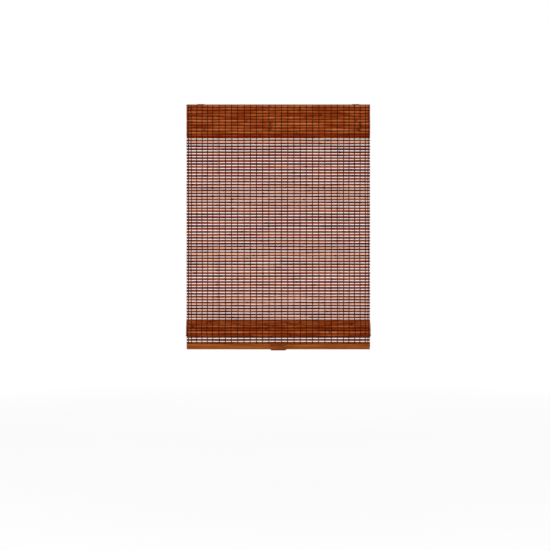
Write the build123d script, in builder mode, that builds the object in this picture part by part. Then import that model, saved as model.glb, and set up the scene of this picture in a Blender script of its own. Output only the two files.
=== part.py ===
"""Bamboo roman shade: a mat of split bamboo on an aluminium headrail, gathered in one pleat at the bottom.

Millimetres, +Z up, the room side faces -Y.
The origin is the middle of the plane that the brackets screw to.
"""

import os
from itertools import accumulate
from math import asin, cos, degrees, radians, sin

from build123d import *

os.makedirs("parts", exist_ok=True)

# Mat: flat slats woven on cotton warps
shade_width = 900
slat_pitch = 14.45
slat_width = 10.6
slat_thick = 2.0
slat_bevel = 0.7
slat_gap = slat_pitch - slat_width
warp_width = 3.2
warp_thick = 0.8

# Warps on each side of the middle: an even pitch, then closer rows, and one at the selvedge
warp_pitch = 30.5
inner_warps = 11
outer_pitch = 26.5
outer_warps = 4
selvedge_pitch = 14

# How the mat hangs: slats in each run, and their lean towards the room in degrees
hanging_slats = 72
pleat_leans = [38, 52, 52, 16, 16, 16, 16]
pleat_back_slats = 6
hem_slats = 9
valance_slats = 11
valance_drop = 3.4
crease_edge = 0.5
crease_bridge = slat_gap - 2 * crease_edge
mat_below_valance = 9.3

# Headrail: an open-topped channel with a hook groove along both walls
rail_depth = 40
rail_height = 32
rail_wall = 1.2
rail_lip = 5
groove_top = 3.5
groove_bottom = 8.5
groove_depth = 1.6
groove_slope = 1.0
cap_plate = 2
cap_over = 0.6
cap_round = 4
plug_length = 8
plug_width = 33
plug_height = 18
plug_wall = 2

# Brackets
bracket_metal = 1.6
bracket_width = 34
bracket_x = 380
bracket_hole_y = 10
bracket_hole_radius = 2.5
hook_height = 2.3
hook_reach = 1.4

# Tapes that hold the mat and the valance
tape_thick = 1.2
tape_height = 20
tape_length = 880
tape_drop = 10.5

# Lift: two cords wound on spools that share a square shaft
lift_x = 300
cord_radius = 0.7
cord_clear = 0.1
shaft_side = 5
shaft_length = 644
shaft_z = -18
spool_radius = 8.2
spool_length = 20
flange_radius = 11
flange_thick = 1.5
journal_radius = 4
journal_length = 5
turning_gap = 0.3
cradle_post = 3.5
cradle_base = 2
cradle_length = 44
cradle_width = 22
motor_length = 70
motor_width = 33
motor_height = 18
motor_lid = 2
motor_corner = 4
eyelet_radius = 3
eyelet_flange = 4.4
eyelet_lip = 1.2

# Rings on the back of the mat; small round pieces that repeat have flats
round_sides = 16
ring_outer = 7
ring_inner = 4.5
ring_height = 2.5
ring_step = 14
first_ring_slat = 15
ring_rows = 6
stop_radius = 5.5
stop_length = 12

# Bottom rail and its pull
bottom_width = 896
bottom_height = 27.4
bottom_thick = 9
bottom_round = 4.5
hem_above_middle = 3.6
back_strip_thick = 4
back_strip_height = 18
pull_width = 76
pull_plate = 4.5
pull_above = 1
pull_below = 4.5
pull_lip = 5
pull_scoop = 34
pull_corner = 5

# Levels and depths that follow from the sizes above
rail_top = -bracket_metal
rail_bottom = rail_top - rail_height
rail_floor = rail_bottom + rail_wall
rail_front = -rail_depth / 2
mat_y = rail_front - 2 * tape_thick - slat_thick / 2
valance_y = mat_y - slat_thick - warp_thick - 2 * tape_thick
valance_top = rail_top - valance_drop
mat_top = valance_top - mat_below_valance
ring_y = mat_y + slat_thick / 2 + turning_gap + ring_outer
shaft_y = ring_y + spool_radius + cord_radius + cord_clear
warp_steps = [warp_pitch / 2] + [warp_pitch] * (inner_warps - 1)
warp_steps += [outer_pitch] * outer_warps + [selvedge_pitch]
warp_places = list(accumulate(warp_steps))
binding_plane, *warp_planes = [Plane.YZ.offset(side * x) for x in warp_places for side in (-1, 1)]
lift_places = [(-lift_x, ring_y), (lift_x, ring_y)]


def disc(radius, mode=Mode.ADD):
    """A small round outline drawn with flats."""
    return RegularPolygon(radius, round_sides, mode=mode)


def keep(piece, name):
    """Label a finished piece and write it."""
    piece.part.label = name
    export_step(piece.part, f"parts/{name}.step")


def hang(top, runs):
    """Follow a hanging mat down from its top edge, with one lean for each slat and a crease between runs.

    Gives each slat's middle and lean, and the corners of the line that the warps take as (y, z).
    """
    y, z = top
    slats = []
    corners = [top]
    last = len(runs) - 1
    for number, run in enumerate(runs):
        for k, lean in enumerate(run):
            at_top = slat_width / 2 if number == 0 else slat_width / 2 + crease_edge
            at_end = slat_width / 2 if number == last else slat_width / 2 + crease_edge
            before = at_top if k == 0 else slat_pitch / 2
            after = at_end if k == len(run) - 1 else slat_pitch / 2
            out = -sin(radians(lean))
            down = -cos(radians(lean))
            if k > 0 and lean != run[k - 1]:
                corners.append((y, z))
            slats.append((y + out * before, z + down * before, lean))
            y += out * (before + after)
            z += down * (before + after)
        corners.append((y, z))
        if number < last:
            y += crease_bridge
            corners.append((y, z))
    return slats, corners


def beside(corners, distance):
    """Shift a line of corners towards the face of the mat, with mitred bends."""
    points = [Vector(y, z) for y, z in corners]
    ways = [(b - a).normalized() for a, b in zip(points, points[1:])]
    faces = [Vector(way.Y, -way.X) for way in ways]
    shifted = [points[0] + faces[0] * distance]
    for point, one, two in zip(points[1:], faces, faces[1:]):
        shifted.append(point + (one + two) * (distance / (1 + one.dot(two))))
    shifted.append(points[-1] + faces[-1] * distance)
    return shifted


def band(corners):
    """The outline of a warp that lies on the faces of the slats."""
    return beside(corners, slat_thick / 2) + beside(corners, slat_thick / 2 + warp_thick)[::-1]


def slat_mat(slats, corners):
    """Slats with bevelled faces, held by one warp beside the middle: one wall with a gap at each row."""
    half = slat_thick / 2
    edge = slat_width / 2
    section = [(half, -edge), (half, edge), (slat_bevel - half, edge)]
    section += [(-half, edge - 2 * slat_bevel), (-half, 2 * slat_bevel - edge), (slat_bevel - half, -edge)]
    with BuildPart() as wall:
        with BuildSketch(Plane.YZ):
            for y, z, lean in slats:
                with Locations((y, z)):
                    Polygon(*section, rotation=-lean, align=None)
        extrude(amount=shade_width / 2, both=True)
        with BuildSketch(binding_plane):
            with BuildLine():
                Polyline(*band(corners), close=True)
            make_face()
        extrude(amount=warp_width / 2, both=True)
    return wall


def warps(corners):
    """All the other warps."""
    with BuildPart() as threads:
        with BuildSketch(*warp_planes):
            with BuildLine():
                Polyline(*band(corners), close=True)
            make_face()
        extrude(amount=warp_width / 2, both=True)
    return threads


def strip(length, depth, height, y, top):
    """A straight tape or batten along the shade, with its front face at y."""
    with BuildPart() as bar:
        with BuildSketch(Plane.XY.offset(top)):
            with Locations((0, y)):
                Rectangle(length, depth, align=(Align.CENTER, Align.MIN))
        extrude(amount=-height)
    return bar


# The pleat swings out by its leans, so its back run leans in by what brings the hem under the hanging mat
pleat_lengths = [slat_pitch] * (len(pleat_leans) - 1) + [slat_pitch / 2 + slat_width / 2 + crease_edge]
pleat_reach = sum(length * sin(radians(lean)) for length, lean in zip(pleat_lengths, pleat_leans))
back_length = (pleat_back_slats - 1) * slat_pitch + slat_width + 2 * crease_edge
back_lean = degrees(asin((pleat_reach - 2 * crease_bridge) / back_length))
front_run = [0] * hanging_slats + pleat_leans
back_run = [back_lean - 180] * pleat_back_slats
mat_slats, mat_corners = hang((mat_y, mat_top), [front_run, back_run, [0] * hem_slats])
valance_run, valance_corners = hang((valance_y, valance_top), [[0] * valance_slats])

mat = slat_mat(mat_slats, mat_corners)
keep(mat, "mat")
keep(warps(mat_corners), "warp_threads")
keep(slat_mat(valance_run, valance_corners), "valance")
keep(warps(valance_corners), "valance_threads")

# Tapes between headrail, mat and valance
tape_top = rail_top - tape_drop
keep(strip(tape_length, tape_thick, tape_height, rail_front - tape_thick, tape_top), "hook_tape")
keep(strip(tape_length, tape_thick, tape_height, rail_front - 2 * tape_thick, tape_top), "loop_tape")
keep(strip(tape_length, 2 * tape_thick, tape_height, valance_y + slat_thick / 2, tape_top), "valance_tape")

# Headrail, drawn as half a section and mirrored
cap_x = shade_width / 2 - cap_plate
wall_in = rail_depth / 2 - groove_depth
with BuildPart() as headrail:
    with BuildSketch(Plane.YZ):
        with BuildLine():
            half_section = Polyline(
                (0, rail_bottom),
                (rail_depth / 2, rail_bottom),
                (rail_depth / 2, rail_top - groove_bottom),
                (wall_in, rail_top - groove_bottom + groove_slope),
                (wall_in, rail_top - groove_top - groove_slope),
                (rail_depth / 2, rail_top - groove_top),
                (rail_depth / 2, rail_top),
                (rail_depth / 2 - rail_lip, rail_top),
                (rail_depth / 2 - rail_lip, rail_top - rail_wall),
                (rail_depth / 2 - rail_wall, rail_top - rail_wall),
                (rail_depth / 2 - rail_wall, rail_top - groove_top + rail_wall / 2),
                (wall_in - rail_wall, rail_top - groove_top - groove_slope + rail_wall / 2),
                (wall_in - rail_wall, rail_top - groove_bottom + groove_slope - rail_wall / 2),
                (rail_depth / 2 - rail_wall, rail_top - groove_bottom - rail_wall / 2),
                (rail_depth / 2 - rail_wall, rail_floor),
                (0, rail_floor),
            )
            mirror(half_section, about=Plane.YZ)
        make_face()
    extrude(amount=cap_x, both=True)
    with BuildSketch(Plane.XY.offset(rail_bottom)):
        with Locations(*lift_places):
            disc(eyelet_radius)
    extrude(amount=rail_wall, mode=Mode.SUBTRACT)
keep(headrail, "headrail")

# End caps: a plate over the section and a hollow plug inside it
for side, name in [(-1, "end_cap_left"), (1, "end_cap_right")]:
    with BuildPart() as end_cap:
        with BuildSketch(Plane.YZ.offset(side * cap_x)):
            with BuildLine():
                half = rail_depth / 2 + cap_over
                outline = Polyline(
                    (0, rail_top),
                    (half, rail_top),
                    (half, rail_bottom - cap_over),
                    (0, rail_bottom - cap_over),
                )
                mirror(outline, about=Plane.YZ)
            face = make_face()
            fillet(face.vertices().group_by(Axis.Y)[0], cap_round)
        extrude(amount=side * cap_plate)
        with BuildSketch(Plane.YZ.offset(side * cap_x)):
            with Locations((0, rail_floor)):
                Rectangle(plug_width, plug_height, align=(Align.CENTER, Align.MIN))
            with Locations((0, rail_floor + plug_wall)):
                inner = (plug_width - 2 * plug_wall, plug_height - 2 * plug_wall)
                Rectangle(*inner, align=(Align.CENTER, Align.MIN), mode=Mode.SUBTRACT)
        extrude(amount=-side * plug_length)
    keep(end_cap, name)

# Brackets: pressed plates that hook into both grooves
hook_y = rail_depth / 2 - hook_reach
hook_top = rail_top - groove_top - groove_slope - turning_gap
leg_y = rail_depth / 2 + bracket_metal
for side, name in [(-1, "bracket_left"), (1, "bracket_right")]:
    with BuildPart() as bracket:
        with BuildSketch(Plane.YZ.offset(side * bracket_x)):
            with BuildLine():
                leg = Polyline(
                    (0, 0),
                    (leg_y, 0),
                    (leg_y, hook_top - hook_height),
                    (hook_y, hook_top - hook_height),
                    (hook_y, hook_top),
                    (rail_depth / 2, hook_top),
                    (rail_depth / 2, rail_top),
                    (0, rail_top),
                )
                mirror(leg, about=Plane.YZ)
            make_face()
        extrude(amount=bracket_width / 2, both=True)
        with Locations((side * bracket_x, 0, 0)):
            with GridLocations(0, 2 * bracket_hole_y, 1, 2):
                Hole(bracket_hole_radius, depth=bracket_metal)
    keep(bracket, name)

# Spring motor: a sealed case that the shaft runs through, with a lid clipped on
motor_top = rail_floor + motor_height
with BuildPart() as motor_case:
    with BuildSketch(Plane.XY.offset(rail_floor)):
        Rectangle(motor_length, motor_width)
    extrude(amount=motor_height)
    chamfer(motor_case.edges().filter_by(Axis.Z), motor_corner)
    with BuildSketch(Plane.YZ.offset(-motor_length / 2)):
        with Locations((shaft_y, shaft_z)):
            Circle(journal_radius)
    extrude(amount=motor_length, mode=Mode.SUBTRACT)
keep(motor_case, "motor_case")

with BuildPart() as motor_cover:
    with BuildSketch(Plane.XY.offset(motor_top)):
        Rectangle(motor_length - 2 * motor_corner, motor_width - 2 * motor_corner)
    extrude(amount=motor_lid)
    chamfer(motor_cover.faces().sort_by(Axis.Z)[-1].edges(), motor_lid / 2)
keep(motor_cover, "motor_cover")

# Lift shaft, and a spool and its cradle over each line of rings
with BuildPart() as lift_shaft:
    with BuildSketch(Plane.YZ):
        with Locations((shaft_y, shaft_z)):
            Rectangle(shaft_side, shaft_side)
    extrude(amount=shaft_length / 2, both=True)
keep(lift_shaft, "lift_shaft")

flange_in = spool_length / 2
journal_in = flange_in + flange_thick
post_in = journal_in + 2 * turning_gap
post_half = journal_radius + cradle_post
for side, where in [(-1, "left"), (1, "right")]:
    with BuildPart() as spool:
        with BuildSketch(Plane.YZ.offset(side * lift_x)):
            with Locations((shaft_y, shaft_z)):
                disc(journal_radius)
        extrude(amount=journal_in + journal_length, both=True)
        with BuildSketch(Plane.YZ.offset(side * lift_x)):
            with Locations((shaft_y, shaft_z)):
                disc(spool_radius)
        extrude(amount=flange_in, both=True)
        for end in (-1, 1):
            with BuildSketch(Plane.YZ.offset(side * lift_x + end * flange_in)):
                with Locations((shaft_y, shaft_z)):
                    disc(flange_radius)
            extrude(amount=end * flange_thick)
        with BuildSketch(Plane.YZ.offset(side * lift_x)):
            with Locations((shaft_y, shaft_z)):
                Rectangle(shaft_side, shaft_side)
        extrude(amount=journal_in + journal_length, both=True, mode=Mode.SUBTRACT)
    keep(spool, f"cord_spool_{where}")

    with BuildPart() as cradle:
        with BuildSketch(Plane.XY.offset(rail_floor)):
            with Locations((side * lift_x, shaft_y)):
                Rectangle(cradle_length, cradle_width)
            with Locations((side * lift_x, ring_y)):
                disc(eyelet_radius, mode=Mode.SUBTRACT)
        extrude(amount=cradle_base)
        for end in (-1, 1):
            with BuildSketch(Plane.YZ.offset(side * lift_x + end * post_in)):
                with BuildLine():
                    Polyline(
                        (shaft_y - post_half, rail_floor),
                        (shaft_y - post_half, shaft_z + journal_radius),
                        (shaft_y - journal_radius, shaft_z + post_half),
                        (shaft_y + journal_radius, shaft_z + post_half),
                        (shaft_y + post_half, shaft_z + journal_radius),
                        (shaft_y + post_half, rail_floor),
                        close=True,
                    )
                make_face()
                with Locations((shaft_y, shaft_z)):
                    disc(journal_radius + 2 * turning_gap, mode=Mode.SUBTRACT)
            extrude(amount=end * cradle_post)
    keep(cradle, f"spool_cradle_{where}")

# Eyelets in the headrail's floor, a flange below it and a tube through it
with BuildPart() as cord_eyelets:
    with BuildSketch(Plane.XY.offset(rail_bottom)):
        with Locations(*lift_places):
            disc(eyelet_flange)
    extrude(amount=-eyelet_lip)
    with BuildSketch(Plane.XY.offset(rail_bottom)):
        with Locations(*lift_places):
            disc(eyelet_radius)
    extrude(amount=rail_wall)
    with BuildSketch(Plane.XY.offset(rail_floor)):
        with Locations(*lift_places):
            disc(2 * cord_radius)
    extrude(amount=-rail_wall - eyelet_lip, mode=Mode.SUBTRACT)
keep(cord_eyelets, "cord_eyelets")

# Rings, row by row, each centred on the slat that it is sewn to
ring_levels = [mat_slats[first_ring_slat + row * ring_step][1] for row in range(ring_rows)]
for row, level in enumerate(ring_levels, start=1):
    with BuildPart() as ring_row:
        with BuildSketch(Plane.XY.offset(level - ring_height / 2)):
            with Locations(*lift_places):
                disc(ring_outer)
                disc(ring_inner, mode=Mode.SUBTRACT)
        extrude(amount=ring_height)
    keep(ring_row, f"ring_row_{row}")

# Lift cords, and the stops that they pull the last rings up with
stop_top = ring_levels[-1] - ring_height / 2
with BuildPart() as cord_stops:
    with BuildSketch(Plane.XY.offset(stop_top)):
        with Locations(*lift_places):
            disc(stop_radius)
            disc(cord_radius + turning_gap, mode=Mode.SUBTRACT)
    extrude(amount=-stop_length)
keep(cord_stops, "cord_stops")

for side, where in [(-1, "left"), (1, "right")]:
    with BuildPart() as lift_cord:
        with BuildSketch(Plane.XY.offset(shaft_z)):
            with Locations((side * lift_x, ring_y)):
                disc(cord_radius)
        extrude(amount=stop_top - stop_length - shaft_z)
    keep(lift_cord, f"lift_cord_{where}")

# Bottom rail: a rounded batten in front of the hem, and a flat one behind it
bottom_mid = mat_slats[-1][1] - hem_above_middle
bottom_back = mat_y - slat_thick / 2 - warp_thick - turning_gap
bottom_front = bottom_back - bottom_thick
with BuildPart() as bottom_rail:
    with BuildSketch(Plane.XY.offset(bottom_mid - bottom_height / 2)):
        with Locations((0, bottom_front)):
            Rectangle(bottom_width, bottom_thick, align=(Align.CENTER, Align.MIN))
    extrude(amount=bottom_height)
    fillet(bottom_rail.faces().sort_by(Axis.Y)[0].edges().filter_by(Axis.X), bottom_round)
keep(bottom_rail, "bottom_rail")

back_strip_y = mat_y + slat_thick / 2 + turning_gap
back_strip_top = bottom_mid + back_strip_height / 2
back_strip = strip(bottom_width, back_strip_thick, back_strip_height, back_strip_y, back_strip_top)
keep(back_strip, "rail_back_strip")

# Pull: a plate on the bottom rail that turns under it, with a scoop for the fingers
pull_top = bottom_mid + bottom_height / 2 + pull_above
pull_bottom = bottom_mid - bottom_height / 2 - pull_below
pull_front = bottom_front - pull_plate
lip_foot = (pull_front - pull_lip, pull_bottom)
lip_head = (pull_front, pull_bottom + pull_lip)
with BuildPart() as lift_handle:
    with BuildSketch(Plane.YZ):
        with BuildLine():
            Polyline(
                lip_head,
                (pull_front, pull_top),
                (bottom_front, pull_top),
                (bottom_front, pull_bottom + pull_below),
                (bottom_back, pull_bottom + pull_below),
                (bottom_back, pull_bottom),
                lip_foot,
            )
            TangentArc(lip_foot, lip_head, tangent=(0, 1))
        make_face()
    extrude(amount=pull_width / 2, both=True)
    with BuildSketch(Plane.XZ.offset(-bottom_back)):
        with Locations((0, pull_bottom - pull_scoop + pull_below / 2)):
            Circle(pull_scoop)
    extrude(amount=bottom_thick, mode=Mode.SUBTRACT)
    with BuildSketch(Plane.XZ.offset(-bottom_back)):
        with Locations((0, pull_bottom)):
            outline = Rectangle(pull_width, pull_top - pull_bottom, align=(Align.CENTER, Align.MIN))
        fillet(outline.vertices().group_by(Axis.Y)[0], pull_corner)
    extrude(amount=bottom_thick + pull_plate + pull_lip, mode=Mode.INTERSECT)
keep(lift_handle, "lift_handle")
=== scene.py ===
"""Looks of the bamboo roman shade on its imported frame.

Slats, warps, rings, spools and cords take the place of their plainer solids, and every piece gets its
material. Metres, +Z up, the room side faces -Y, as in the frame.
"""

from itertools import accumulate
from math import asin, cos, degrees, pi, radians, sin

import bpy
import numpy as np
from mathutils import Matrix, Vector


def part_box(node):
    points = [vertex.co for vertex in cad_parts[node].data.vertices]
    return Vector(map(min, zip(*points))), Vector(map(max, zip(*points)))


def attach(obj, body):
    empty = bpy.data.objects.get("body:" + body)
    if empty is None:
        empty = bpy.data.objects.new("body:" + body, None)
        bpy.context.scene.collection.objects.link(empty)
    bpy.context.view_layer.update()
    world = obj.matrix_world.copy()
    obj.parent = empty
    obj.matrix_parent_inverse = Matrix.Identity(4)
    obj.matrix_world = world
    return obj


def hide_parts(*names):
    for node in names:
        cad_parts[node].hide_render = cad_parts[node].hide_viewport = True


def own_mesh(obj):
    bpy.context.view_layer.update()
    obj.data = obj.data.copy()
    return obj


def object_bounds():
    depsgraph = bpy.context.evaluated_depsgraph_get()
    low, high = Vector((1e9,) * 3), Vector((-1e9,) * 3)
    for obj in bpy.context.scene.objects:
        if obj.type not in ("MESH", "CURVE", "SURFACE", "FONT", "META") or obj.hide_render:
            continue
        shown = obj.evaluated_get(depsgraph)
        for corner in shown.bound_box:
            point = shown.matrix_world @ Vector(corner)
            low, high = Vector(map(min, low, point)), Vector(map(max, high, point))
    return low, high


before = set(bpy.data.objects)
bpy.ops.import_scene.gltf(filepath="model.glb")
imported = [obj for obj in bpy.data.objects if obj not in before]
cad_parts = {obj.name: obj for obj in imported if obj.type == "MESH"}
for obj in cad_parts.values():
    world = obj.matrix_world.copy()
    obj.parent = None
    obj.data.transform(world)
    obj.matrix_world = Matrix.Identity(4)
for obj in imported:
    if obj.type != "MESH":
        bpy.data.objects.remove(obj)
cad_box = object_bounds()

MM = 0.001

# The mat's own sizes, as the frame was built
slat_pitch = 14.45 * MM
slat_width = 10.6 * MM
slat_thick = 2.0 * MM
slat_gap = slat_pitch - slat_width
hanging_slats = 72
pleat_leans = [38, 52, 52, 16, 16, 16, 16]
pleat_back_slats = 6
hem_slats = 9
valance_slats = 11
crease_edge = 0.5 * MM
crease_bridge = slat_gap - 2 * crease_edge

# Warps on each side of the middle: an even pitch, then closer rows, and one at the selvedge
warp_pitch = 30.5 * MM
inner_warps = 11
outer_pitch = 26.5 * MM
outer_warps = 4
selvedge_pitch = 14 * MM
warp_steps = [warp_pitch / 2] + [warp_pitch] * (inner_warps - 1)
warp_steps += [outer_pitch] * outer_warps + [selvedge_pitch]
warp_places = sorted(side * x for x in accumulate(warp_steps) for side in (-1, 1))

# How the mat gathers: the slats fixed to the headrail, and the first slat that rides with the bottom rail
fixed_slats = 2
first_riding_slat = 71

# Levels and depths read from the frame
mat_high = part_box("mat")[1]
valance_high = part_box("valance")[1]
shade_half = mat_high[0]
mat_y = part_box("loop_tape")[0][1] - slat_thick / 2
valance_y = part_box("valance_tape")[0][1] - slat_thick / 2

# Half the outline of a slat, from its flat back round the eased edge to its crowned face: shares of the half
# thickness towards the face, shares of the half width along the mat, and how much a point belongs to the rim
slat_outline = [(-1, 0.93, 0.5), (-0.6, 1, 1), (0.4, 1, 1), (0.85, 0.84, 0.84), (1, 0.4, 0.4)]

# What varies along a slat and from slat to slat; widths are shares of the slat's own
slat_steps = 60
slat_sway = 0.35 * MM
slat_drift = 0.125 * MM
slat_swell = 1.025
broad_slat = 1.2
width_waver = 0.03
end_trim = 1.0 * MM
ripple_waves = (1.4, 3.1, 6.7)
ripple_top = 1.5

# Knots along a slat: how far apart, how dark, how long, and how much higher and wider the slat is there
knot_spacing = 0.42
knot_stray = (0.75, 1.35)
knot_depths = (0.45, 1.0)
knot_reach = 5.5 * MM
knot_rise = 0.3 * MM
knot_swell = 0.05
knot_rings = np.array([-2.2, -1.3, -0.6, 0, 0.6, 1.3, 2.2]) * knot_reach

# Tones of the slats, in steps of the stain: how far one may stray, and how much each stretch of the mat is
# painted darker or lighter, as painted shade on the hanging drop and painted light on the leaning pleat; the
# grain starts at another place in each slat
tone_limit = 2.2
stretch_shading = {"head": 0.0, "drop": 0.7, "pleat": -0.7}
grain_shift = 100

# A warp is two flat strands that trade sides in each gap and wander a little from side to side
strand_wide = 1.55 * MM
strand_thick = 0.5 * MM
strand_part = 1.05 * MM
strand_inset = 0.3 * MM
strand_sides = 6
warp_wander = 1.2 * MM
wander_share = (0.4, 1.0)
wander_wave = 9

# Rings, and the turns of yarn that sew them to the mat
ring_outer = 7 * MM
ring_inner = 4.5 * MM
ring_tube = (ring_outer - ring_inner) / 2
ring_points = 12
ring_rows = 6
rows_that_rise = 4
tie_yarn = 0.32 * MM
tie_loop = 1.75 * MM
tie_points = 6
tie_sides = 14
tie_spacing = 0.7 * MM
tie_inset = 0.9 * MM

# Spools, and the cord that is left on them
barrel = 8.2 * MM
barrel_half = 10 * MM
flange = 11 * MM
flange_thick = 1.5 * MM
flange_ease = 0.3 * MM
journal = 4 * MM
journal_length = 5 * MM
journal_ease = 0.4 * MM
spool_bore = 3.6 * MM
spool_sides = 40
cord_radius = 0.7 * MM
cord_turns = 5
turn_steps = 24
turn_advance = 2.1 * cord_radius
cord_steps = 30
cord_sides = 10

# Cord stops and eyelets
stop_radius = 5.5 * MM
stop_hole = 1.0 * MM
stop_ease = 1.6 * MM
eyelet_hole = 1.4 * MM
eyelet_neck = 3.0 * MM
eyelet_rim = 4.4 * MM
eyelet_lip = 1.2 * MM
eyelet_ease = 0.5 * MM
eyelet_rise = 0.4 * MM

# Easing of the solids' edges that show as they are
weld_reach = 0.01 * MM
plain_ease = 0.3 * MM
node_ease = {
    "headrail": 0.25 * MM,
    "bottom_rail": 0.5 * MM,
    "rail_back_strip": 0.5 * MM,
    "lift_handle": 0.8 * MM,
}
ease_steps = 3
ease_angle = radians(35)

# Photograph's frame: 550 pixels, 4.9 mm to a pixel, the shade's middle at x 278.3 and its top at y 104
pixel = 4.9 * MM
frame_pixels = 550
middle_px = 278.3
top_py = 104
camera_distance = 6.0

# Floor, which fades to plain white away from the shade, and the light that the background gives
floor_half = 9
floor_z = -1.75
floor_glow = 0.8
floor_fade = 5
ambient = 0.5

# Soft square lights: place, size and watts
lights = {
    "key": ((-1.9, -3.6, 0.9), 2.2, 80),
    "fill": ((2.4, -3.4, -0.3), 2.6, 36),
    "back": ((0.6, 2.6, 0.6), 2.4, 30),
}


def hang(top, runs):
    """Follow a hanging mat down from its top edge, as the frame does.

    Gives each slat's middle and lean, and the points that its warps cross at in the gap after it, as (y, z).
    """
    y, z = top
    slats, gaps = [], []
    last = len(runs) - 1
    for number, run in enumerate(runs):
        for k, lean in enumerate(run):
            at_top = slat_width / 2 if number == 0 else slat_width / 2 + crease_edge
            at_end = slat_width / 2 if number == last else slat_width / 2 + crease_edge
            before = at_top if k == 0 else slat_pitch / 2
            after = at_end if k == len(run) - 1 else slat_pitch / 2
            out, down = -sin(radians(lean)), -cos(radians(lean))
            slats.append((y + out * before, z + down * before, lean))
            y += out * (before + after)
            z += down * (before + after)
            gaps.append([(y, z)])
        if number < last:
            y += crease_bridge
            gaps[-1].append((y, z))
    return slats, gaps


def add_mesh(name, points, faces):
    """A new smooth mesh object from arrays of points and faces."""
    mesh = bpy.data.meshes.new(name)
    mesh.from_pydata(np.asarray(points, float).reshape(-1, 3).tolist(), [], faces)
    mesh.polygons.foreach_set("use_smooth", [True] * len(mesh.polygons))
    mesh.update()
    piece = bpy.data.objects.new(name, mesh)
    bpy.context.scene.collection.objects.link(piece)
    return piece


def skin(rings, around, start=0, capped=True):
    """Faces of a tube of that many rings with that many points each, counted from start."""
    faces = []
    for r in range(rings - 1):
        a, b = start + r * around, start + (r + 1) * around
        faces += [(a + k, a + (k + 1) % around, b + (k + 1) % around, b + k) for k in range(around)]
    if capped:
        faces.append(tuple(range(start + around - 1, start - 1, -1)))
        faces.append(tuple(range(start + (rings - 1) * around, start + rings * around)))
    return faces


def give(piece, paint, body, replaces=()):
    """Material, body and the CAD nodes that the piece stands for."""
    piece.data.materials.append(paint)
    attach(piece, body)
    if replaces:
        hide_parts(*replaces)
    return piece


# Slats


def ripple(rng, xs):
    """A gentle random wave along a slat, about -1 to 1."""
    total = 0
    for k, wave in enumerate(ripple_waves):
        total = total + np.sin(2 * pi * wave / (2 * shade_half) * xs + rng.uniform(0, 2 * pi)) / (k + 1)
    return total / ripple_top


def knot_places(rng):
    """Where the knots of one slat lie along it, the last of them past its end."""
    places = [-shade_half + rng.uniform(0, knot_spacing)]
    while places[-1] < shade_half:
        places.append(places[-1] + knot_spacing * rng.uniform(*knot_stray))
    return np.array(places)


def slat_pieces(name, slats, seed, depth=0.0, broad=None):
    """One mesh of the given slats, each with its own tone, knots, sway and trimmed ends.

    Depth takes all the tones down, as painted shade where it is above nought and as painted light where it is
    below; broad is the number of a slat that is wider than the others.
    """
    half, edge = slat_thick / 2, slat_width / 2
    half_outline = [(out * half, along * edge, rim) for out, along, rim in slat_outline]
    outline = half_outline + [(out, -along, rim) for out, along, rim in reversed(half_outline)]
    out, along, rims = np.array(outline).T
    points, faces, count = [], [], 0
    layers = {"tone": [], "knot": [], "grain": [], "rim": []}
    for number, (y, z, lean) in enumerate(slats):
        rng = np.random.default_rng(seed + number)
        left, right = shade_half - rng.uniform(0, end_trim, 2)
        places = knot_places(rng)
        depths = rng.uniform(*knot_depths, len(places))
        evenly = np.linspace(-left, right, slat_steps + 1)
        xs = np.concatenate([evenly, (places[:, None] + knot_rings).ravel()])
        xs = np.unique(xs[(xs >= -left) & (xs <= right)])
        knot = (depths * np.exp(-(((xs[:, None] - places) / knot_reach) ** 2))).max(axis=1)
        shift = slat_sway * ripple(rng, xs) + rng.normal(0, slat_drift)
        breadth = broad_slat if number == broad else slat_swell
        spread = breadth + width_waver * ripple(rng, xs) + knot_swell * knot
        away = out[None, :] + (out > 0)[None, :] * (knot_rise * knot)[:, None]
        down = along[None, :] * spread[:, None] + shift[:, None]
        face_y, face_z = -cos(radians(lean)), sin(radians(lean))
        run_y, run_z = sin(radians(lean)), cos(radians(lean))
        block = np.stack(
            [
                np.repeat(xs[:, None], len(outline), axis=1),
                y + away * face_y + down * run_y,
                z + away * face_z + down * run_z,
            ],
            axis=2,
        )
        faces += skin(len(xs), len(outline), start=count)
        count += len(xs) * len(outline)
        points.append(block.reshape(-1, 3))
        # Painted shade and painted light: the depth darkens the hanging drop and lightens the leaning pleat
        tone = np.clip(rng.normal(0, 1), -tone_limit, tone_limit) - depth
        layers["tone"].append(np.full(block.shape[:2], tone))
        layers["knot"].append(np.repeat(knot[:, None], len(outline), axis=1))
        layers["grain"].append(np.full(block.shape[:2], rng.uniform(0, grain_shift)))
        layers["rim"].append(np.repeat(rims[None, :], len(xs), axis=0))
    piece = add_mesh(name, np.concatenate(points), faces)
    for label, values in layers.items():
        layer = piece.data.attributes.new(label, "FLOAT", "POINT")
        layer.data.foreach_set("value", np.concatenate([v.ravel() for v in values]).astype(np.float32))
    return piece


# Warps


def strand_line(slats, gaps, first, last, strand, top):
    """Where one strand runs over slats first to last, as points (sideways, y, z).

    It trades places with the other strand in each gap.
    """
    reach = slat_width / 2 - strand_inset
    lift = slat_thick / 2 + strand_thick
    aside = strand_part if strand else -strand_part
    start = top if first == 0 else gaps[first - 1][-1]
    line = [(aside, *start)]
    for k in range(first, last + 1):
        y, z, lean = slats[k]
        side = lift if (k + strand) % 2 == 0 else -lift
        face_y, face_z = -cos(radians(lean)), sin(radians(lean))
        run_y, run_z = -sin(radians(lean)), -cos(radians(lean))
        for step in (-reach, reach):
            line.append((0, y + run_y * step + face_y * side, z + run_z * step + face_z * side))
        line += [(aside, *point) for point in gaps[k]]
        aside = -aside
        line[-1] = (aside, *line[-1][1:])
    return np.array(line)


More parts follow.
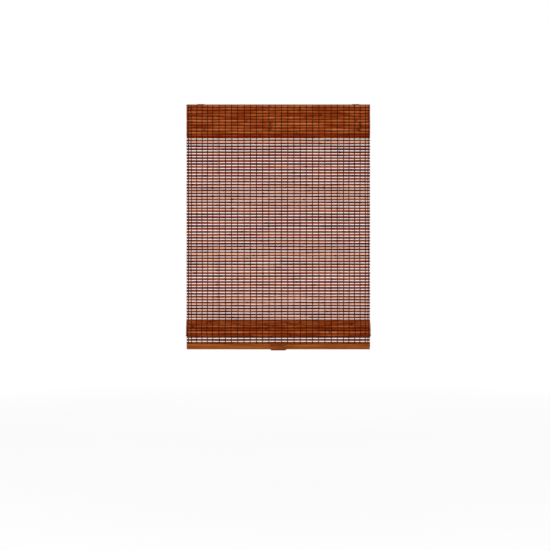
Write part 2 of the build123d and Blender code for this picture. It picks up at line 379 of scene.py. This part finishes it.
def strand_rings(line):
    """Flat oval rings round a strand's line, square to its run up and down the mat."""
    run = np.gradient(line[:, 1:], axis=0)
    run /= np.linalg.norm(run, axis=1)[:, None]
    turn = np.arange(strand_sides) * 2 * pi / strand_sides
    rings = np.empty((len(line), strand_sides, 3))
    rings[:, :, 0] = line[:, None, 0] + strand_wide * np.cos(turn)[None, :]
    rings[:, :, 1] = line[:, None, 1] + strand_thick * np.sin(turn)[None, :] * -run[:, None, 1]
    rings[:, :, 2] = line[:, None, 2] + strand_thick * np.sin(turn)[None, :] * run[:, None, 0]
    return rings


def warp_pieces(name, slats, gaps, first, last, top, seed):
    """One mesh of all the warps over slats first to last."""
    points, faces, count = [], [], 0
    for w, place in enumerate(warp_places):
        rng = np.random.default_rng(seed + w)
        phase = rng.uniform(0, 2 * pi)
        bend = rng.uniform(*wander_share) * warp_wander
        for strand in (0, 1):
            rings = strand_rings(strand_line(slats, gaps, first, last, strand, top))
            rings[:, :, 0] += place + bend * np.sin(rings[:, :, 2] * wander_wave + phase)
            faces += skin(len(rings), strand_sides, start=count)
            points.append(rings.reshape(-1, 3))
            count += rings.shape[0] * strand_sides
    return add_mesh(name, np.concatenate(points), faces)


# Turned pieces and tubes


def lathe(name, profile, centres, axis, sides=32):
    """Turned pieces with one (along, radius) profile, one about each centre, with the axis 'x' or 'z'."""
    turn = np.arange(sides) * 2 * pi / sides
    points, faces, count = [], [], 0
    for centre in centres:
        for along, radius in profile:
            across, up = radius * np.cos(turn), radius * np.sin(turn)
            level = np.full(sides, along)
            columns = (level, across, up) if axis == "x" else (across, up, level)
            points.append(np.stack(columns, axis=1) + np.array(centre))
        faces += skin(len(profile), sides, start=count, capped=False)
        ring = len(profile) * sides
        closing = count + ring - sides
        for k in range(sides):
            after = (k + 1) % sides
            faces.append((closing + k, closing + after, count + after, count + k))
        count += ring
    return add_mesh(name, np.concatenate(points), faces)


def tube(name, line, radius, sides=8):
    """A round tube along a line of points."""
    line = np.asarray(line, float)
    run = np.gradient(line, axis=0)
    run /= np.linalg.norm(run, axis=1)[:, None]
    athwart = np.array([0.31, 0.9, 0.27])  # a direction that no tube here follows
    side = np.cross(run, athwart)
    side /= np.linalg.norm(side, axis=1)[:, None]
    over = np.cross(side, run)
    turn = np.arange(sides) * 2 * pi / sides
    rings = line[:, None, :] + radius * (
        np.cos(turn)[None, :, None] * side[:, None, :] + np.sin(turn)[None, :, None] * over[:, None, :]
    )
    return add_mesh(name, rings, skin(len(line), sides))


def circle(radius, middle, count):
    """Profile of a round ring: (along, radius) points about a tube's middle."""
    turns = [2 * pi * k / count for k in range(count)]
    return [(radius * sin(turn), middle + radius * cos(turn)) for turn in turns]


def rounded(half_length, radius, hole, ease):
    """Profile of a turned tube with eased ends: (along, radius) round its wall."""
    corner = 0.3 * ease
    return [
        (-half_length, hole + ease),
        (-half_length, radius - ease),
        (-half_length + corner, radius - corner),
        (-half_length + ease, radius),
        (half_length - ease, radius),
        (half_length - corner, radius - corner),
        (half_length, radius - ease),
        (half_length, hole + ease),
        (half_length - ease, hole),
        (-half_length + ease, hole),
    ]


# Materials


def srgb(red, green, blue):
    """A colour of 0 to 255 parts as linear light, by the sRGB curve."""
    parts = [c / 255 for c in (red, green, blue)]
    return tuple(c / 12.92 if c <= 0.04045 else ((c + 0.055) / 1.055) ** 2.4 for c in parts) + (1,)


class Paint:
    """A node material round one Principled shader, with short calls for the nodes that it uses."""

    def __init__(self, name, **sockets):
        self.material = bpy.data.materials.new(name)
        self.material.use_nodes = True
        self.tree = self.material.node_tree
        self.shader = next(n for n in self.tree.nodes if n.type == "BSDF_PRINCIPLED")
        for socket, value in sockets.items():
            self.shader.inputs[socket.replace("_", " ")].default_value = value
        self.place = self.add("ShaderNodeTexCoord").outputs["Object"]

    def add(self, kind, **settings):
        node = self.tree.nodes.new(kind)
        for key, value in settings.items():
            setattr(node, key, value)
        return node

    def join(self, source, target):
        self.tree.links.new(source, target)

    def attribute(self, name):
        return self.add("ShaderNodeAttribute", attribute_name=name).outputs["Fac"]

    def math(self, operation, a, b):
        node = self.add("ShaderNodeMath", operation=operation)
        for socket, value in zip(node.inputs, (a, b)):
            if isinstance(value, (int, float)):
                socket.default_value = value
            else:
                self.join(value, socket)
        return node.outputs["Value"]

    def weighted(self, *parts):
        """Sum of values, each given with its share."""
        scaled = [self.math("MULTIPLY", value, share) for value, share in parts]
        total = scaled[0]
        for value in scaled[1:]:
            total = self.math("ADD", total, value)
        return total

    def stretched(self, stretch, shift=None):
        """Object coordinates scaled on each axis, and moved by a value where one is given."""
        mapping = self.add("ShaderNodeMapping")
        mapping.inputs["Scale"].default_value = stretch
        self.join(self.place, mapping.inputs["Vector"])
        if shift is None:
            return mapping.outputs["Vector"]
        moved = self.add("ShaderNodeVectorMath", operation="ADD")
        self.join(mapping.outputs["Vector"], moved.inputs[0])
        self.join(shift, moved.inputs[1])
        return moved.outputs["Vector"]

    def noise(self, stretch, shift=None, detail=4.0, rough=0.55):
        """Noise in object coordinates that are stretched, and moved where a shift is given."""
        node = self.add("ShaderNodeTexNoise")
        node.inputs["Scale"].default_value = 1
        node.inputs["Detail"].default_value = detail
        node.inputs["Roughness"].default_value = rough
        self.join(self.stretched(stretch, shift), node.inputs["Vector"])
        return node.outputs["Fac"]

    def ramp(self, factor, stops):
        node = self.add("ShaderNodeValToRGB")
        elements = node.color_ramp.elements
        while len(elements) < len(stops):
            elements.new(1)
        for element, (position, colour) in zip(elements, stops):
            element.position = position
            element.color = colour
        self.join(factor, node.inputs["Fac"])
        return node.outputs["Color"]

    def mix(self, factor, one, two):
        """Two colours mixed by a factor; each colour is a socket or four numbers."""
        node = self.add("ShaderNodeMix", data_type="RGBA")
        self.join(factor, node.inputs["Factor"])
        for name, value in (("A", one), ("B", two)):
            socket = [s for s in node.inputs if s.name == name and s.type == "RGBA"][0]
            if isinstance(value, tuple):
                socket.default_value = value
            else:
                self.join(value, socket)
        return [s for s in node.outputs if s.type == "RGBA"][0]

    def colour(self, socket):
        self.join(socket, self.shader.inputs["Base Color"])

    def roughness(self, factor, low, high):
        spread = self.math("MULTIPLY", factor, high - low)
        self.join(self.math("ADD", spread, low), self.shader.inputs["Roughness"])

    def blend(self, factor, other):
        """Mix another shader over the Principled one by a factor."""
        node = self.add("ShaderNodeMixShader")
        output = next(n for n in self.tree.nodes if n.type == "OUTPUT_MATERIAL")
        self.join(factor, node.inputs[0])
        self.join(self.shader.outputs["BSDF"], node.inputs[1])
        self.join(other, node.inputs[2])
        self.join(node.outputs["Shader"], output.inputs["Surface"])

    def between(self, value, low, high, start=0.0, reach=1.0):
        """A smooth rise from the start at low to the reach at high."""
        node = self.add("ShaderNodeMapRange", interpolation_type="SMOOTHSTEP")
        node.inputs["From Min"].default_value = low
        node.inputs["From Max"].default_value = high
        node.inputs["To Min"].default_value = start
        node.inputs["To Max"].default_value = reach
        self.join(value, node.inputs["Value"])
        return node.outputs["Result"]

    def bump(self, height, strength, distance):
        node = self.add("ShaderNodeBump")
        node.inputs["Strength"].default_value = strength
        node.inputs["Distance"].default_value = distance
        self.join(height, node.inputs["Height"])
        self.join(node.outputs["Normal"], self.shader.inputs["Normal"])


def bamboo_paint():
    """Stained split bamboo: long fibres, a tone for each slat, painted shade darkening the rims where the
    shade between slats falls, and dark knots.
    """
    tone_share, fibre_share, blotch_share, knot_share = 0.05, 0.5, 0.5, 0.9
    stains = [
        (0.32, srgb(92, 20, 0)),
        (0.43, srgb(122, 38, 1)),
        (0.51, srgb(144, 56, 9)),
        (0.60, srgb(168, 82, 34)),
        (0.72, srgb(190, 116, 70)),
    ]
    # The first is a painted shade colour for the slats' rims; the second is the knots' own colour
    rim_shade_colour, knot_stain = srgb(58, 14, 1), srgb(44, 12, 2)
    p = Paint("bamboo", Specular_IOR_Level=0.04)
    grain = p.attribute("grain")
    fibres = p.noise((9, 700, 700), grain, detail=5, rough=0.65)
    blotches = p.noise((11, 60, 60), grain, detail=3)
    value = p.weighted((p.attribute("tone"), tone_share), (fibres, fibre_share), (blotches, blotch_share))
    # Painted shade: the rims are darkened towards a near-black brown, standing in for the shade in the gaps
    # between slats
    rim_shade = p.between(p.attribute("rim"), 0.5, 1, reach=0.85)
    edged = p.mix(rim_shade, p.ramp(value, stains), rim_shade_colour)
    p.colour(p.mix(p.math("MULTIPLY", p.attribute("knot"), knot_share), edged, knot_stain))
    p.roughness(fibres, low=0.42, high=0.66)
    p.bump(fibres, strength=0.3, distance=0.3 * MM)
    return p.material


def yarn_paint(name, dark, light, twist):
    """Twisted or braided yarn: fine slanted ridges with a little fuzz."""
    ridge_share, fuzz_share = 0.6, 0.4
    p = Paint(name, Roughness=0.85, Specular_IOR_Level=0.1)
    ridges = p.add("ShaderNodeTexWave", wave_type="BANDS", bands_direction="DIAGONAL")
    ridges.inputs["Scale"].default_value = twist
    ridges.inputs["Distortion"].default_value = 1.5
    ridges.inputs["Detail"].default_value = 2
    p.join(p.place, ridges.inputs["Vector"])
    fuzz = p.noise((900, 900, 900), detail=2)
    value = p.weighted((ridges.outputs["Fac"], ridge_share), (fuzz, fuzz_share))
    p.colour(p.ramp(value, [(0.2, dark), (0.8, light)]))
    p.bump(value, strength=0.5, distance=0.3 * MM)
    return p.material


def wood_paint(name, deep, main, pale, drift_stretch):
    """Stained batten with long straight grain along X and a worn satin finish."""
    grain_share, drift_share, pore_share = 0.75, 0.45, -0.2
    p = Paint(name, Specular_IOR_Level=0.08)
    grain = p.noise((3.5, 260, 260), detail=6, rough=0.6)
    pores = p.noise((40, 1500, 1500), detail=3)
    drift = p.noise(drift_stretch, detail=2)
    value = p.weighted((grain, grain_share), (drift, drift_share), (pores, pore_share))
    p.colour(p.ramp(value, [(0.35, deep), (0.5, main), (0.65, pale)]))
    p.roughness(grain, low=0.32, high=0.5)
    p.bump(p.math("ADD", grain, pores), strength=0.15, distance=0.25 * MM)
    return p.material


def metal_paint(name, dull, bright, line_stretch, low, high):
    """Coated, anodised or bare metal with drawn lines and faint handling marks, rough from low to high."""
    line_share, mark_share = 0.5, 0.5
    p = Paint(name, Metallic=1.0)
    lines = p.noise(line_stretch, detail=4)
    marks = p.noise((22, 22, 22), detail=5, rough=0.7)
    value = p.weighted((lines, line_share), (marks, mark_share))
    p.colour(p.ramp(value, [(0.3, dull), (0.7, bright)]))
    p.roughness(value, low, high)
    p.bump(lines, strength=0.08, distance=0.1 * MM)
    return p.material


def plastic_paint(name, deep, main, rough):
    """Moulded plastic with a fine grained skin and slight yellowing."""
    rough_spread = 0.15
    p = Paint(name, Specular_IOR_Level=0.25)
    skin_grain = p.noise((1400, 1400, 1400), detail=2)
    tint = p.noise((30, 30, 30), detail=3)
    p.colour(p.ramp(tint, [(0.3, deep), (0.7, main)]))
    p.roughness(tint, rough, rough + rough_spread)
    p.bump(skin_grain, strength=0.12, distance=0.1 * MM)
    return p.material


def tape_paint(name, dark, light):
    """Woven tape: a close basket of small loops."""
    loop_share, tint_share = 0.7, 0.3
    p = Paint(name, Roughness=0.9, Specular_IOR_Level=0.05)
    loops = p.add("ShaderNodeTexVoronoi")
    loops.inputs["Scale"].default_value = 1
    p.join(p.stretched((900, 900, 900)), loops.inputs["Vector"])
    tint = p.noise((60, 60, 60), detail=3)
    value = p.weighted((loops.outputs["Distance"], loop_share), (tint, tint_share))
    p.colour(p.ramp(value, [(0.1, dark), (0.7, light)]))
    p.bump(loops.outputs["Distance"], strength=0.6, distance=0.4 * MM)
    return p.material


bamboo = bamboo_paint()
warp_yarn = yarn_paint("warp_yarn", srgb(34, 8, 1), srgb(64, 20, 5), twist=420)
lift_braid = yarn_paint("lift_braid", srgb(96, 62, 34), srgb(168, 124, 78), twist=700)
stitch_yarn = yarn_paint("stitch_yarn", srgb(70, 38, 20), srgb(132, 84, 48), twist=700)
rail_wood = wood_paint(
    "rail_wood", srgb(104, 46, 6), srgb(143, 72, 17), srgb(168, 97, 36), drift_stretch=(5, 60, 60)
)
pull_wood = wood_paint(
    "pull_wood", srgb(84, 33, 2), srgb(124, 55, 8), srgb(148, 78, 24), drift_stretch=(24, 90, 90)
)
anodised = metal_paint(
    "anodised", srgb(66, 42, 28), srgb(92, 62, 44), line_stretch=(4, 900, 900), low=0.34, high=0.5
)
coated_steel = metal_paint(
    "coated_steel", srgb(58, 38, 26), srgb(82, 58, 44), line_stretch=(70, 70, 70), low=0.4, high=0.56
)
drawn_steel = metal_paint(
    "drawn_steel", srgb(140, 142, 146), srgb(190, 192, 196), line_stretch=(6, 1200, 1200), low=0.25, high=0.42
)
brown_plastic = plastic_paint("brown_plastic", srgb(74, 38, 20), srgb(96, 52, 28), rough=0.42)
white_plastic = plastic_paint("white_plastic", srgb(222, 218, 206), srgb(238, 236, 228), rough=0.38)
ring_plastic = plastic_paint("ring_plastic", srgb(214, 206, 184), srgb(234, 228, 210), rough=0.25)
motor_plastic = plastic_paint("motor_plastic", srgb(62, 64, 68), srgb(88, 90, 94), rough=0.45)
tape = tape_paint("tape", srgb(70, 30, 12), srgb(112, 54, 26))

# The mat, slat by slat, in a fixed head, a drop that hangs from the headrail and a pleat that rides with the
# bottom rail
pleat_lengths = [slat_pitch] * (len(pleat_leans) - 1) + [slat_pitch / 2 + slat_width / 2 + crease_edge]
pleat_reach = sum(length * sin(radians(lean)) for length, lean in zip(pleat_lengths, pleat_leans))
back_length = (pleat_back_slats - 1) * slat_pitch + slat_width + 2 * crease_edge
back_lean = degrees(asin((pleat_reach - 2 * crease_bridge) / back_length))
mat_runs = [[0] * hanging_slats + pleat_leans, [back_lean - 180] * pleat_back_slats, [0] * hem_slats]
mat_top = (mat_y, mat_high[2])
mat_slats, mat_gaps = hang(mat_top, mat_runs)
last_slat = len(mat_slats) - 1
hem_top = len(mat_slats) - hem_slats

stretches = [
    ("head", 0, fixed_slats - 1, "headrail"),
    ("drop", fixed_slats, first_riding_slat - 1, "headrail"),
    ("pleat", first_riding_slat, last_slat, "bottom_rail"),
]
for part, first, last, body in stretches:
    slat_piece = slat_pieces(
        f"mat_{part}",
        mat_slats[first : last + 1],
        seed=100 + first,
        depth=stretch_shading[part],
        broad=hem_top - first,
    )
    give(slat_piece, bamboo, body, ["mat"])
    warp_piece = warp_pieces(f"warps_{part}", mat_slats, mat_gaps, first, last, mat_top, seed=700)
    give(warp_piece, warp_yarn, body, ["warp_threads"])
    if part == "drop":
        for piece in (slat_piece, warp_piece):
            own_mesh(piece)

# The valance
valance_top = (valance_y, valance_high[2])
flap_slats, flap_gaps = hang(valance_top, [[0] * valance_slats])
give(slat_pieces("valance_slats", flap_slats, seed=400), bamboo, "headrail", ["valance"])
flap_warps = warp_pieces("valance_warps", flap_slats, flap_gaps, 0, valance_slats - 1, valance_top, seed=900)
give(flap_warps, warp_yarn, "headrail", ["valance_threads"])

# Rings, sewn to the mat with a few turns of yarn
ring_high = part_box("ring_row_1")[1]
lift_x = ring_high[0] - ring_outer
ring_y = ring_high[1] - ring_outer
sides_x = (-lift_x, lift_x)
ring_section = circle(ring_tube, ring_outer - ring_tube, ring_points)
tie_section = circle(tie_yarn, tie_loop, tie_points)
tie_y = ring_y - ring_outer + tie_inset
for row in range(1, ring_rows + 1):
    low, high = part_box(f"ring_row_{row}")
    level = (low[2] + high[2]) / 2
    body = f"ring_row_{row}" if row <= rows_that_rise else "bottom_rail"
    rings = lathe(f"rings_{row}", ring_section, [(x, ring_y, level) for x in sides_x], "z")
    give(rings, ring_plastic, body, [f"ring_row_{row}"])
    tie_places = [(x + turn * tie_spacing, tie_y, level) for x in sides_x for turn in (-1, 0, 1)]
    ties = lathe(f"ring_ties_{row}", tie_section, tie_places, "x", sides=tie_sides)
    give(ties, stitch_yarn, body)

# Spools with a few turns of cord left on them, and the cords that hang from them
shaft_low, shaft_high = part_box("lift_shaft")
shaft_y = (shaft_low[1] + shaft_high[1]) / 2
shaft_z = (shaft_low[2] + shaft_high[2]) / 2
flange_out = barrel_half + flange_thick
journal_end = flange_out + journal_length
half_spool = [
    (barrel_half, barrel),
    (barrel_half, flange - flange_ease),
    (barrel_half + flange_ease, flange),
    (flange_out - flange_ease, flange),
    (flange_out, flange - flange_ease),
    (flange_out, journal),
    (journal_end - journal_ease, journal),
    (journal_end, journal - journal_ease),
    (journal_end, spool_bore),
]
spool_profile = [(-along, radius) for along, radius in reversed(half_spool)] + half_spool
turn = np.linspace(0, 2 * pi * cord_turns, turn_steps * cord_turns)
wound = barrel + cord_radius
for x, side in zip(sides_x, ("left", "right")):
    spool = lathe(f"spool_{side}", spool_profile, [(x, shaft_y, shaft_z)], "x", sides=spool_sides)
    give(spool, white_plastic, "lift_shaft", [f"cord_spool_{side}"])
    helix = np.stack(
        [
            x + turn * turn_advance / (2 * pi),
            shaft_y - wound * np.cos(turn),
            shaft_z + wound * np.sin(turn),
        ],
        axis=1,
    )
    give(tube(f"cord_turns_{side}", helix, cord_radius), lift_braid, "lift_shaft")

    cord_low, cord_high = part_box(f"lift_cord_{side}")
    drop = np.linspace(cord_high[2], cord_low[2], cord_steps)
    run = np.stack([np.full_like(drop, x), np.full_like(drop, ring_y), drop], axis=1)
    cord = tube(f"cord_{side}", run, cord_radius, cord_sides)
    give(cord, lift_braid, "headrail", [f"lift_cord_{side}"])
    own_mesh(cord)

# Stops at the cords' lower ends, and the eyelets where the cords leave the headrail
stop_low, stop_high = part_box("cord_stops")
stop_half = (stop_high[2] - stop_low[2]) / 2
stop_profile = rounded(stop_half, stop_radius, stop_hole, stop_ease)
stop_places = [(x, ring_y, stop_low[2] + stop_half) for x in sides_x]
stops = lathe("stops", stop_profile, stop_places, "z")
give(stops, brown_plastic, "bottom_rail", ["cord_stops"])

eyelet_low, eyelet_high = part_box("cord_eyelets")
eyelet_foot, eyelet_head = eyelet_low[2], eyelet_high[2]
eyelet_profile = [
    (eyelet_foot + eyelet_rise, eyelet_hole),
    (eyelet_foot, eyelet_hole + eyelet_ease),
    (eyelet_foot, eyelet_rim - eyelet_ease),
    (eyelet_foot + eyelet_rise, eyelet_rim),
    (eyelet_foot + eyelet_lip, eyelet_rim),
    (eyelet_foot + eyelet_lip, eyelet_neck),
    (eyelet_head, eyelet_neck),
    (eyelet_head, eyelet_hole),
]
eyelets = lathe("eyelets", eyelet_profile, [(x, ring_y, 0) for x in sides_x], "z")
give(eyelets, white_plastic, "headrail", ["cord_eyelets"])

# CAD nodes that show as they are, with their edges eased
finishes = {
    anodised: ["headrail"],
    coated_steel: ["bracket_left", "bracket_right"],
    drawn_steel: ["lift_shaft"],
    rail_wood: ["bottom_rail", "rail_back_strip"],
    pull_wood: ["lift_handle"],
    brown_plastic: ["end_cap_left", "end_cap_right"],
    white_plastic: ["spool_cradle_left", "spool_cradle_right"],
    motor_plastic: ["motor_case", "motor_cover"],
    tape: ["hook_tape", "loop_tape", "valance_tape"],
}
for paint, nodes in finishes.items():
    for node in nodes:
        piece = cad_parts[node]
        piece.data.materials.clear()
        piece.data.materials.append(paint)
        weld = piece.modifiers.new("weld", "WELD")
        weld.merge_threshold = weld_reach
        bevel = piece.modifiers.new("ease", "BEVEL")
        bevel.width = node_ease.get(node, plain_ease)
        bevel.segments = ease_steps
        bevel.limit_method = "ANGLE"
        bevel.angle_limit = ease_angle

# Floor, light and camera


def seen_directly(tree):
    """One where the camera, a reflection or glass looks at the background, and nought elsewhere."""
    path = tree.nodes.new("ShaderNodeLightPath")
    seen = path.outputs["Is Camera Ray"]
    for ray in ("Is Glossy Ray", "Is Transmission Ray"):
        either = tree.nodes.new("ShaderNodeMath")
        either.operation = "MAXIMUM"
        tree.links.new(seen, either.inputs[0])
        tree.links.new(path.outputs[ray], either.inputs[1])
        seen = either.outputs["Value"]
    return seen


floor_corners = [(x * floor_half, y * floor_half, floor_z) for x, y in ((-1, -1), (1, -1), (1, 1), (-1, 1))]
floor = add_mesh("floor", floor_corners, [(0, 1, 2, 3)])
floor_paint = Paint("floor", Roughness=0.9)
mottle = floor_paint.noise((1.5, 1.5, 1.5), detail=2)
floor_paint.colour(floor_paint.ramp(mottle, [(0.3, srgb(246, 246, 246)), (0.7, srgb(250, 250, 250))]))
glow = floor_paint.add("ShaderNodeEmission")
far = floor_paint.add("ShaderNodeVectorMath", operation="LENGTH")
floor_paint.join(floor_paint.place, far.inputs[0])
fade = floor_paint.between(far.outputs["Value"], -floor_z, floor_fade, start=floor_glow)
seen_glow = floor_paint.math("MULTIPLY", seen_directly(floor_paint.tree), fade)
floor_paint.blend(seen_glow, glow.outputs["Emission"])
floor.data.materials.append(floor_paint.material)

scene = bpy.context.scene
scene.view_settings.view_transform = "Standard"
world = bpy.data.worlds.new("studio")
world.use_nodes = True
scene.world = world
background = next(n for n in world.node_tree.nodes if n.type == "BACKGROUND")
background.inputs["Color"].default_value = (1, 1, 1, 1)
strength = world.node_tree.nodes.new("ShaderNodeMath")
strength.operation = "MULTIPLY_ADD"
strength.inputs[1].default_value = 1 - ambient
strength.inputs[2].default_value = ambient
world.node_tree.links.new(seen_directly(world.node_tree), strength.inputs[0])
world.node_tree.links.new(strength.outputs["Value"], background.inputs["Strength"])


def area_light(name, place, aim, size, watts):
    """A soft square light that faces a point."""
    data = bpy.data.lights.new(name, "AREA")
    data.size = size
    data.energy = watts
    light = bpy.data.objects.new(name, data)
    light.location = place
    away = light.location - type(light.location)(aim)
    light.rotation_euler = away.to_track_quat("Z", "Y").to_euler()
    scene.collection.objects.link(light)


shade_middle = (0, mat_y, (cad_box[0][2] + cad_box[1][2]) / 2)
for name, (place, size, watts) in lights.items():
    area_light(name, place, shade_middle, size, watts)

camera_data = bpy.data.cameras.new("camera")
camera_data.lens = camera_data.sensor_width * camera_distance / (frame_pixels * pixel)
camera = bpy.data.objects.new("camera", camera_data)
camera.location = (
    (frame_pixels / 2 - middle_px) * pixel,
    mat_y - camera_distance,
    (top_py - frame_pixels / 2) * pixel,
)
camera.rotation_euler = (pi / 2, 0, 0)
scene.collection.objects.link(camera)
scene.camera = camera
